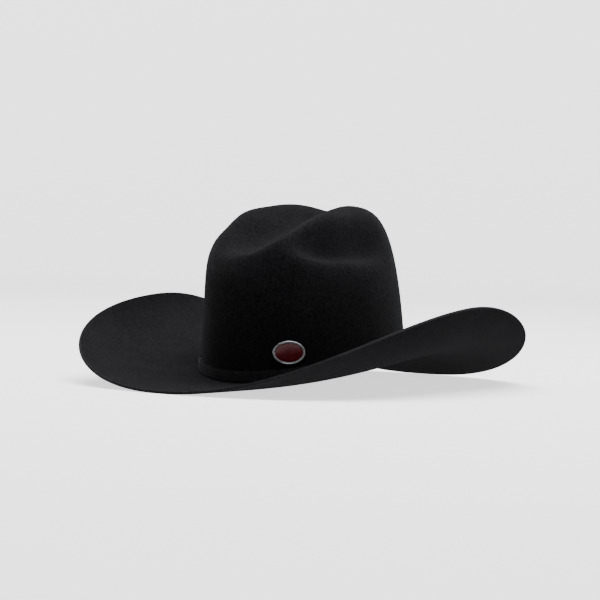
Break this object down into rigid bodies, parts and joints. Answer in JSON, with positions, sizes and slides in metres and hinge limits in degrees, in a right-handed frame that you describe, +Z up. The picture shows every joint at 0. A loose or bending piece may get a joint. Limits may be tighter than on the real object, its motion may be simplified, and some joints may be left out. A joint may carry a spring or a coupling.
{
  "type": "cowboy hat",
  "caption": "Black felt cowboy hat with a creased crown, rolled brim, self band with a side buckle, leather sweatband and satin lining.",
  "frame": {"origin": "on the surface the hat stands on, under the middle of its bounding box", "axes": "+Z up, -Y the front of the hat, +X the wearer's left"},
  "size_m": [0.3446, 0.4164, 0.1607],
  "materials": {
    "felt": "brushed fur felt",
    "band_felt": "brushed fur felt",
    "buckle_metal": "polished nickel silver",
    "thread": "waxed thread",
    "sweatband_leather": "smooth roan leather",
    "reed_plastic": "drawn plastic",
    "woven_tape": "woven cotton tape",
    "sweatband_thread": "waxed thread",
    "ribbon": "grosgrain ribbon",
    "tag_cloth": "woven satin",
    "lining_satin": "satin",
    "emblem_metal": "pewter",
    "enamel": "glossy enamel"
  },
  "bodies": {
    "hat": {"felt_body": "felt", "hatband_strap": "band_felt", "hatband_tip": "buckle_metal", "band_tack_back": "thread", "band_tack_right": "thread", "band_tack_front_right": "thread", "sweatband": "sweatband_leather", "sweatband_reed": "reed_plastic", "reed_tape": "woven_tape", "sweatband_thread": "sweatband_thread", "sweatband_bow": "ribbon", "size_tag": "tag_cloth", "lining_side": "lining_satin", "lining_tip": "lining_satin", "lining_piping": "lining_satin", "emblem_base": "emblem_metal", "emblem_enamel": "enamel", "emblem_backplate": "emblem_metal"},
    "buckle": {"hatband_buckle_frame": "buckle_metal"},
    "prong": {"hatband_buckle_prong": "buckle_metal"},
    "keeper": {"hatband_keeper": "buckle_metal"}
  },
  "joints": [
    {"name": "buckle_swing", "type": "hinge", "parent": "hat", "child": "buckle", "pos_m": [0.08665, 0.01456, 0.03531], "axis": [-0.1445, -0.1227, 0.9819], "range_deg": [0, 25]},
    {"name": "prong_swing", "type": "hinge", "parent": "buckle", "child": "prong", "pos_m": [0.08665, 0.01456, 0.03531], "axis": [-0.1445, -0.1227, 0.9819], "range_deg": [0, 50]},
    {"name": "keeper_slide", "type": "slide", "parent": "hat", "child": "keeper", "axis": [-0.243, 0.9674, 0.0711], "range_m": [-0.003, 0.003]}
  ]
}
